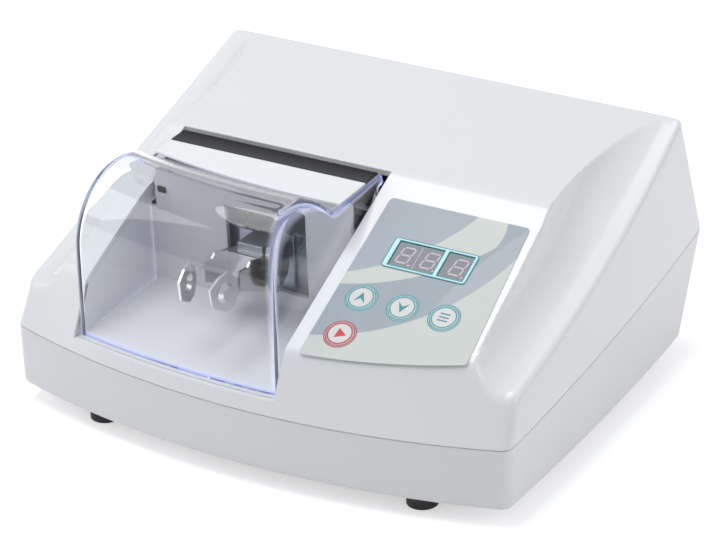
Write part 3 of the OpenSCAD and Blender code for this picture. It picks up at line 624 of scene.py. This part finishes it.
def closedForm(name, rings, grid, place):
    points = [tuple(p) for ring in rings for p in ring]
    count = len(rings[0])
    faces = gridFaces(len(rings), count, closed=True)
    rows, cols = len(grid), len(grid[0])
    ids = [[None] * cols for _ in range(rows)]
    for r in range(rows):
        for c in range(cols):
            if grid[r][c] is not None:
                ids[r][c] = grid[r][c]
            else:
                ids[r][c] = len(points)
                points.append(tuple(place[r, c]))
    for r in range(rows - 1):
        for c in range(cols - 1):
            faces.append([ids[r][c], ids[r][c + 1], ids[r + 1][c + 1], ids[r + 1][c]])
    last = (len(rings) - 1) * count
    faces.append([last + k for k in range(count)])
    return newObject(name, meshFrom(name, points, faces))


def makeUpper(name, inset, skirt):
    rings, inner = upperForm(inset, skirt)
    grid, place = quadTop(inner, inset)
    return closedForm(name, rings, grid, place)


upperSkin = makeUpper("upperHousing", 0.0, 0.0)
print("upper form ready")


# a point on the console: across, up the slope, out of it
def panelPoint(x, v, out):
    cos, sin = math.cos(panelTilt), math.sin(panelTilt)
    return (x, panelPlane["y"] + v * cos - out * sin, panelPlane["z"] + v * sin + out * cos)


# a point on the rear wall: across, out of it, up it from the inlet's middle
def rearPoint(x, out, up):
    tilt = math.atan(housing["rearSlope"])
    cos, sin = math.cos(tilt), math.sin(tilt)
    return (x, rearLine(inlet["z"], True) + out * cos - up * sin, inlet["z"] + out * sin + up * cos)


panelUp = (0, -math.sin(panelTilt), math.cos(panelTilt))
notch = {"low": (-87.4, -140, 42), "high": (19.1, 3.1, 150)}
inlet = {"x": -72, "z": 80, "half": (23.8, 13.8)}
rearVents = {"x": (36, 88), "z": [68 + 6 * k for k in range(6)], "half": 1.4}
windows = {"x": [(41.6, 63), (65.3, 77.3)], "v": (-35.2, -21.6), "middle": -28.4}
keyHole = 6.5
keyPlaces = [(39, -55.39), (58.8, -55.39), (78.6, -55.39), (39, -75.71)]
boardPosts = [(33, -18), (87, -18), (29.5, -65.5), (87, -66)]
bosses = [(-108, -66), (108, -66), (-108, 66), (108, 66)]


# cutters for the display windows and the keys, reaching so far to both sides of the console's surface
def consoleCuts(windowDeep, keyDeep):
    low, high = windows["v"]
    cuts = [block("cut", (a, low, -windowDeep), (b, high, windowDeep), panelPoint) for a, b in windows["x"]]
    cuts += [peg("cut", panelPoint(x, v, 0), keyHole, -keyDeep, keyDeep, panelUp) for x, v in keyPlaces]
    return cuts


# the inner skins need fewer samples
samples = {"across": sampleAcross(False), "along": [k / 52 for k in range(53)]}
combine(upperSkin, [makeUpper("inner", housing["wall"], 4.0)], "DIFFERENCE")


def roofOver(x, y, r):
    turns = np.linspace(0, 2 * math.pi, 24)
    return float(roofHeight(x + r * np.cos(turns), y + r * np.sin(turns)).min())


posts = [peg("post", (x, y, 0), 4.5, partingZ(y) + 1, roofOver(x, y, 4.5) - 1.2) for x, y in bosses]
posts += [peg("post", panelPoint(x, v, 0), 3, -11, -1.4, panelUp) for x, v in boardPosts]
combine(upperSkin, posts, "UNION")
cuts = [block("cut", notch["low"], notch["high"])]
cuts += consoleCuts(20, 6)
cuts += [peg("cut", panelPoint(x, v, 0), 1.25, -12, -4, panelUp) for x, v in boardPosts]
cuts += [peg("cut", (x, y, 0), 1.55, partingZ(y) - 4, partingZ(y) + 14) for x, y in bosses]
wide, high = inlet["half"]
cuts += [block("cut", (inlet["x"] - wide, -10, -high), (inlet["x"] + wide, 10, high), rearPoint)]
for z in rearVents["z"]:
    up, half = z - inlet["z"], rearVents["half"]
    cuts += [block("cut", (rearVents["x"][0], -10, up - half), (rearVents["x"][1], 10, up + half), rearPoint)]
combine(upperSkin, cuts, "DIFFERENCE")
print("upper housing cut,", len(upperSkin.data.polygons), "faces")


def lowerForm(name, inset, top):
    ring = outlineAt(40, False, inset)
    for _ in range(4):
        ring = outlineAt(partingZ(ring[:, 1]) + top, False, inset)
    floorZ = housing["footZ"] + inset
    soft = max(3.2 - inset, 0.8)
    low = outlineAt(floorZ, False, inset)
    above = outlineAt(floorZ + soft, False, inset)
    inward = inwardOf(low)
    inner = np.column_stack([low[:, :2] + inward * soft, low[:, 2]])
    rings = []
    rows = 8
    for k in range(rows):
        rings.append(outlineAt(ring[:, 2] + (above[:, 2] - ring[:, 2]) * k / rows, False, inset))
    rings += roundedRings(low, above, inner)
    points = [tuple(p) for r in rings for p in r]
    count = len(ring)
    faces = gridFaces(len(rings), count, closed=True)
    last = (len(rings) - 1) * count
    faces.append([last + k for k in range(count)])
    faces.append([k for k in range(count)][::-1])
    return newObject(name, meshFrom(name, points, faces))


lowerSkin = lowerForm("lowerHousing", 0.0, -0.2)
combine(lowerSkin, [lowerForm("inner", housing["wall"], 3.0)], "DIFFERENCE")
feetPlaces = [(-79.8, -84.4), (79.8, -84.4), (-79.8, 62), (79.8, 62)]
mountPlaces = [(-62, -8), (84, -8), (-62, 46), (84, 46)]
posts = [peg("post", (x, y, 0), 5.5, 8.5, partingZ(y) - 1.6) for x, y in bosses]
posts += [peg("post", (x, y, 0), 4, 8.5, 16.5) for x, y in feetPlaces]
posts += [peg("post", (x, y, 0), 9, 8.5, 12) for x, y in mountPlaces]
posts += [peg("post", (x, y, 0), 3, 8.5, 16) for x, y in [(31, -70), (95, -70), (31, -28), (95, -28)]]
combine(lowerSkin, posts, "UNION")
cuts = [peg("cut", (x, y, 0), 1.9, 7, 67) for x, y in bosses]
cuts += [peg("cut", (x, y, 0), 4, 6.5, partingZ(y) - 12) for x, y in bosses]
cuts += [peg("cut", (x, y, 0), 1.6, 7, 15) for x, y in feetPlaces]
cuts += [peg("cut", (x, 28, 0), 3.2, 7, 15) for x in (-46, 66)]
cuts += [block("cut", (14 + 9 * k, 36, 7), (18 + 9 * k, 74, 15)) for k in range(7)]
combine(lowerSkin, cuts, "DIFFERENCE")
print("lower housing cut,", len(lowerSkin.data.polygons), "faces")

for skin, slot, node in ((upperSkin, "shell_white", "upper_shell"), (lowerSkin, "base_white", "lower_shell")):
    softShade(skin, 38)
    finishPiece(skin, slot, "housing", node)

# lid: one clear moulding with an outer and an inner skin over the same rows and columns
lid = {
    "x0": -86.8, "x1": 18.5, "bow": 420, "axisY": 320.9, "base": 42.6, "wall": 2.6, "rear": -1.6,
    "bulgeZ": 84, "bulge": 115, "crest": 118, "round": 24.7, "drop": 31, "dip": 13.5, "flat": 42,
    "bend": [(363.1, 104.28), (361.8, 104.12), (360, 104.02), (357.5, 104), (353, 104)],
    "underside": [
        (-31, 42.6), (-31, 82), (-22, 82), (-21, 80.5), (-13, 80.5),
        (-11.5, 84), (-11.5, 94), (-4.6, 100), (-1.6, 100),
    ],
    "edges": [(0, 3.2), (30, 3.4), (75, 4.6), (110, 3.6), (135, 2.4), (175, 1.6)],
    "rims": [(0, 0.65), (40, 0.65), (60, 0.6), (80, 0.8), (110, 0.95), (175, 0.95)],
    "rightRim": [(0, 0.6), (60, 0.7), (85, 1)], "pin": 2.08, "pinAt": (-17, 86.5),
}
lidMiddle = (lid["x0"] + lid["x1"]) / 2
lidHalf = (lid["x1"] - lid["x0"]) / 2


def lidHalfAt(z):
    rise = max(z - lid["bulgeZ"], 0)
    return lidHalf - (lid["bulge"] - math.sqrt(lid["bulge"] ** 2 - rise ** 2))


# the lid's section as radius from the bow's axis and height, up the front and back to the flat
def lidProfile(inset):
    bow, high = lid["bow"], lid["crest"] - lid["bulgeZ"]
    pts = [(bow, lid["base"]), (bow, lid["base"] + 0.8), (bow, lid["base"] + 2)]
    pts += [(bow, lid["base"] + 41.4 * k / 9) for k in range(1, 9)]
    for k in range(22):
        a = math.pi / 2 * k / 22
        pts.append((bow - lid["round"] * (1 - math.cos(a)), lid["bulgeZ"] + high * math.sin(a)))
    for k in range(19):
        t = k / 18
        pts.append((bow - lid["round"] - lid["drop"] * t, lid["crest"] - lid["dip"] * t ** 2.6))
    pts += lid["bend"]
    moved = []
    for i, (r, z) in enumerate(pts):
        a, b = pts[max(i - 1, 0)], pts[min(i + 1, len(pts) - 1)]
        dr, dz = b[0] - a[0], b[1] - a[1]
        size = math.hypot(dr, dz)
        moved.append((r - inset * dz / size, z + inset * dr / size))
    return moved


# a point on the lower edge of the side walls, at a share t of its length from the front
def lidSideBase(t, frontY):
    line = [(frontY, lid["base"])] + lid["underside"]
    lengths = [math.dist(a, b) for a, b in zip(line, line[1:])]
    left = t * sum(lengths)
    for a, b, size in zip(line, line[1:], lengths):
        if left <= size:
            return tuple(a[k] + (b[k] - a[k]) * left / size for k in (0, 1))
        left -= size
    return line[-1]


# rows of points from the left wall's edge over the top to the right wall's edge, and the rim weight of each
def lidSkin(inset):
    across = [-1 + 2 * k / 32 for k in range(33)]
    profile = lidProfile(inset)
    reach = [0]
    for a, b in zip(profile, profile[1:]):
        reach.append(reach[-1] + math.dist(a, b))
    flats = 8
    reach += [reach[-1] + (k + 1) / flats * lid["flat"] for k in range(flats)]
    edges = [max(float(np.interp(s, *zip(*lid["edges"]))) - inset, 0.5) for s in reach]
    rows = []
    for i, (r, z) in enumerate(profile):
        half = lidHalfAt(z) - inset - edges[i]
        xs = [lidMiddle + half * c for c in across]
        rows.append([(x, lid["axisY"] - math.sqrt(r * r - x * x), z) for x in xs])
    last, rear = rows[-1], lid["rear"]
    for k in range(1, flats + 1):
        half = lidHalfAt(last[0][2]) - inset - edges[len(profile) + k - 1]
        row = [(lidMiddle + half * c, y + (rear - y) * k / flats, z) for c, (x, y, z) in zip(across, last)]
        rows.append(row)

    sides, steps, down = [], 6, 14
    for sign, end in ((-1, 0), (1, -1)):
        strips = []
        for i, row in enumerate(rows):
            x, y, z = row[end]
            before, after = rows[max(i - 1, 0)][end], rows[min(i + 1, len(rows) - 1)][end]
            along = Vector((0, after[1] - before[1], after[2] - before[2])).normalized()
            corner = Vector((lidMiddle + sign * (lidHalfAt(z) - inset), y, z))
            stop = corner + Vector((0, along.z, -along.y)) * edges[i]
            stop.x = lidMiddle + sign * (lidHalfAt(stop.z) - inset)
            start = Vector(row[end])
            strips.append([curve(start, corner, stop, k / steps) for k in range(1, steps + 1)])
        frontY = strips[0][-1].y
        total = reach[-1]
        for i, bent in enumerate(strips):
            stop = bent[-1]
            by, bz = lidSideBase(reach[i] / total, frontY)
            bz = min(bz, stop.z - 0.3) if i else lid["base"]
            for k in range(1, down + 1):
                t = (k / down) ** 1.2
                z = stop.z + (bz - stop.z) * t
                half = lidHalfAt(z) - inset
                bent.append(Vector((lidMiddle + sign * half, stop.y + (by - stop.y) * t, z)))
        sides.append(strips)
    leftSide, rightSide = ([[tuple(p) for p in bent] for bent in strips] for strips in sides)
    full = [leftSide[i][::-1] + row + rightSide[i] for i, row in enumerate(rows)]
    # rim weights: where the lid is tinted blue and given its painted glow
    weights = []
    for i, s in enumerate(reach):
        bend = float(np.interp(s, *zip(*lid["rims"])))
        corner = [bend * math.sin(math.pi * k / (steps + 1)) for k in range(1, steps + 1)]
        right = [w * float(np.interp(s, *zip(*lid["rightRim"]))) for w in corner]
        line = [0.0] * down + corner[::-1] + [0.0] * len(across) + right + [0.0] * down
        band = {0: 1.0, 1: 0.9, 2: 0.06, len(reach) - 1: 1.0}.get(i, 0.0)
        line = [max(w, band) for w in line]
        line[0] = line[-1] = 0.1
        weights.append(line)
    return full, weights


outerSkin, outerRim = lidSkin(0.0)
innerSkin, innerRim = lidSkin(lid["wall"])
rowCount, colCount = len(outerSkin), len(outerSkin[0])
points = [p for row in outerSkin for p in row] + [p for row in innerSkin for p in row]
rimWeights = [w for row in outerRim for w in row] + [w for row in innerRim for w in row]
faces = gridFaces(rowCount, colCount) + gridFaces(rowCount, colCount, first=rowCount * colCount)
shift = rowCount * colCount
for c in range(colCount - 1):
    for base in (0, (rowCount - 1) * colCount):
        faces.append([base + c, base + c + 1, shift + base + c + 1, shift + base + c])
for r in range(rowCount - 1):
    for base in (0, colCount - 1):
        a, b = r * colCount + base, (r + 1) * colCount + base
        faces.append([a, b, shift + b, shift + a])
lidPiece = newObject("lidClear", meshFrom("lidClear", points, faces))
pinY, pinZ = lid["pinAt"]
combine(lidPiece, [peg("pin", (0, pinY, pinZ), lid["pin"], -140, 140, (1, 0, 0))], "DIFFERENCE")
finder = kdtree.KDTree(len(points))
for k, p in enumerate(points):
    finder.insert(Vector(p) * mm, k)
finder.balance()
rimLayer = lidPiece.data.attributes.new("rim", "FLOAT", "POINT")
for k, vertex in enumerate(lidPiece.data.vertices):
    rimLayer.data[k].value = rimWeights[finder.find(vertex.co)[1]]
softShade(lidPiece, 40)
finishPiece(lidPiece, "clear_plastic", "lid", "lid_cover")
print("lid ready,", len(lidPiece.data.polygons), "faces")

# overlay film with its printed bands, the display and the keys
panel = {
    "corners": [(26, 0), (93.4, 0), (98.52, -75.4), (26, -90.32)], "round": 2.0, "arc": (0, 221.6, 313),
    "thick": 0.4, "soft": 0.08, "taper": 0.0015, "pane": (-2.2, 0.3), "paneGap": 0.2,
    "teal": ((0.05, 0.27, 0.31), (0.5, 0.73, 0.76)), "red": ((0.34, 0.02, 0.035), (0.78, 0.45, 0.48)),
    "rings": (6.75, 7.3), "keyRings": (6.3, 5.65, 5.05), "digits": (47.1, 11.72, 13.64),
    "bands": {
        "band": ((7.8, 9.2), 90.7), "sliver": ((214.5, -82.6), 146), "left": ((61.5, -7.9), 22.7),
        "green": ((5, 46.3), 99.1), "top": ((-8.4, 33), 84),
    },
}


# where a shaded point lies on the console, across and up the slope
def panelPlace(shade):
    x, y, z = shade.split()
    up = (y - panelPlane["y"]) * math.cos(panelTilt) + (z - panelPlane["z"]) * math.sin(panelTilt)
    return x, up


def reachFrom(x, v, center):
    across, along = x - center[0], v - center[1]
    return (across * across + along * along).math("SQRT")


def boxReach(x, v, center, half, r=0.0):
    a = (x - center[0]).size() - (half[0] - r)
    b = (v - center[1]).size() - (half[1] - r)
    outA, outB = a.high(0), b.high(0)
    return (outA * outA + outB * outB).math("SQRT") + a.high(b).low(0) - r


# the nearer of the two display windows
def windowReach(x, v, half):
    middle = windows["middle"]
    first, second = (boxReach(x, v, ((a + b) / 2, middle), ((b - a) / 2, half)) for a, b in windows["x"])
    return first.low(second)


def printOverlay(shade):
    x, v = panelPlace(shade)
    below, band, sliver = (0.575, 0.61, 0.575), (0.32, 0.37, 0.415), (0.385, 0.425, 0.48)
    green, top = (0.59, 0.63, 0.59), (0.365, 0.405, 0.46)
    inside = {k: reachFrom(x, v, center).less(radius) for k, (center, radius) in panel["bands"].items()}
    color = shade.mixColor(inside["band"], below, band)
    color = shade.mixColor(inside["band"] * inside["sliver"], color, sliver)
    left = inside["left"].high(x.less(61.5)).high(v.less(-15.6))
    color = shade.mixColor(left * inside["green"], color, green)
    color = shade.mixColor(inside["top"], color, top)
    for k, center in enumerate(keyPlaces):
        ring, pale = panel["red" if k == 3 else "teal"]
        reach = reachFrom(x, v, center)
        color = shade.mixColor(reach.less(panel["rings"][1]), color, ring)
        color = shade.mixColor(reach.less(panel["rings"][0]), color, pale)
    spots = shade.noise(60, 3.0)
    shade.set("Base Color", shade.mixColor(spots * 0.06, color, (0.5, 0.5, 0.5)))


def roundedOutline():
    cx, cy, r = panel["arc"]
    low = [(x, cy - math.sqrt(r * r - x * x)) for x in np.linspace(96.0, 28.0, 40)]
    line = panel["corners"][:3] + low + panel["corners"][3:]
    out = []
    for k, here in enumerate(line):
        if here not in panel["corners"]:
            out.append(here)
            continue
        a, b = Vector(line[k - 1]), Vector(line[(k + 1) % len(line)])
        p = Vector(here)
        toA, toB = (a - p).normalized(), (b - p).normalized()
        cut = panel["round"] / math.tan(toA.angle(toB) / 2)
        middle = p + (toA + toB).normalized() * panel["round"] / math.sin(toA.angle(toB) / 2)
        start, stop = p + toA * cut - middle, p + toB * cut - middle
        turn = start.angle(stop)
        for j in range(9):
            t = j / 8
            spoke = (start * math.sin((1 - t) * turn) + stop * math.sin(t * turn)) / math.sin(turn)
            out.append(tuple(middle + spoke))
    return out


outline = roundedOutline()
count = len(outline)
points = [panelPoint(x, v, h) for h in (0, panel["thick"] - panel["soft"]) for x, v in outline]
taper, (cx, cv) = panel["taper"], np.mean(outline, axis=0)
points += [panelPoint(x + (cx - x) * taper, v + (cv - v) * taper, panel["thick"]) for x, v in outline]
faces = gridFaces(3, count, True) + [list(range(count))[::-1], list(range(2 * count, 3 * count))]
film = newObject("overlayFilm", meshFrom("overlayFilm", points, faces))
combine(film, consoleCuts(2, 2), "DIFFERENCE")
softShade(film, 30)
finishPiece(film, "overlay_film", "housing", "overlay")
printOverlay(paint["overlay_film"])


def printFrame(shade):
    x, v = panelPlace(shade)
    outer = boxReach(x, v, (58.9, windows["middle"]), (20.2, 8.3), 1.8).more(-0.45)
    inner = windowReach(x, v, 6.8).less(0.4)
    shade.set("Base Color", shade.mixColor(outer.high(inner), (0.56, 0.84, 0.87), (0.035, 0.25, 0.27)))


def printPane(shade):
    x, v = panelPlace(shade)
    first, step, last = panel["digits"]
    left = x - first - step * x.more(52.3) - last * x.more(64)
    w = v - windows["middle"]
    u = left - 0.16 * w
    high = (w.size() - 2.1).size()
    across = (high - 2.1).size().less(0.4) * u.size().less(2.3)
    upright = (u.size() - 2.75).size().less(0.38) * high.less(1.72)
    dot = reachFrom(left, w, (3.55, -4.9)).less(0.55)
    lit = across.high(upright).high(dot).high((x - 52.8).size().less(0.17) * w.size().less(5.9))
    edge = windowReach(x, v, 6.6).more(-0.55)
    color = shade.mixColor(edge, (0.115, 0.125, 0.15), (0.045, 0.2, 0.215))
    shade.set("Base Color", shade.mixColor(lit, color, (0.47, 0.40, 0.44)))


bm = bmesh.new()
gap, (under, over), (low, high) = panel["paneGap"], panel["pane"], windows["v"]
for a, b in windows["x"]:
    addBlock(bm, (a + gap, low + gap, under), (b - gap, high - gap, over))
finishPiece(objectFrom("displayPane", bm, panelPoint), "window_dark", "housing", "display_pane")
printFrame(paint["frame_teal"])
printPane(paint["window_dark"])


def keyShade(name, place, tint, sign, ink):
    ring, pale = panel[tint]
    shade = Shade(name, pale, 0.4)
    x, v = panelPlace(shade)
    reach = reachFrom(x, v, place)
    outer, inner, face = (reach.less(radius) for radius in panel["keyRings"])
    color = shade.mixColor(inner, shade.mixColor(outer, ring, pale), ring)
    color = shade.mixColor(face, color, (0.67, 0.66, 0.645))
    shade.set("Base Color", shade.mixColor(sign(x - place[0], v - place[1]), color, ink))
    shade.grain(300, 0.01, radius=0.0003)
    return shade


# the keys' signs, by the place across and up from the key's middle
def arrowUp(u, w):
    return u.size().less((2.95 - w) * 0.495) * w.more(-0.4 - 0.8 * u.size())


def arrowDown(u, w):
    return arrowUp(u, -1 * w)


def bars(u, w):
    return u.size().less(2.3) * ((w.size() - 0.9).size() - 0.9).size().less(0.36)


def playSign(u, w):
    along = w + 0.09 * u
    return (u - 0.09 * w).more(-1.55) * along.size().less((3.2 - u) * 0.579)


signs = {
    "key_up": ("teal", arrowUp, (0.008, 0.23, 0.29)),
    "key_down": ("teal", arrowDown, (0.008, 0.23, 0.29)),
    "key_mode": ("teal", bars, (0.015, 0.22, 0.27)),
    "key_start": ("red", playSign, (0.62, 0.004, 0.006)),
}
for (name, given), place in zip(signs.items(), keyPlaces):
    nodes[name].data.materials.clear()
    nodes[name].data.materials.append(keyShade(name, place, *given).material)
print("panel ready")

scene.cycles.max_bounces = 24
scene.cycles.transmission_bounces = 24
scene.cycles.transparent_max_bounces = 24
scene.cycles.caustics_reflective = False
scene.cycles.caustics_refractive = False
scene.cycles.sample_clamp_indirect = 2
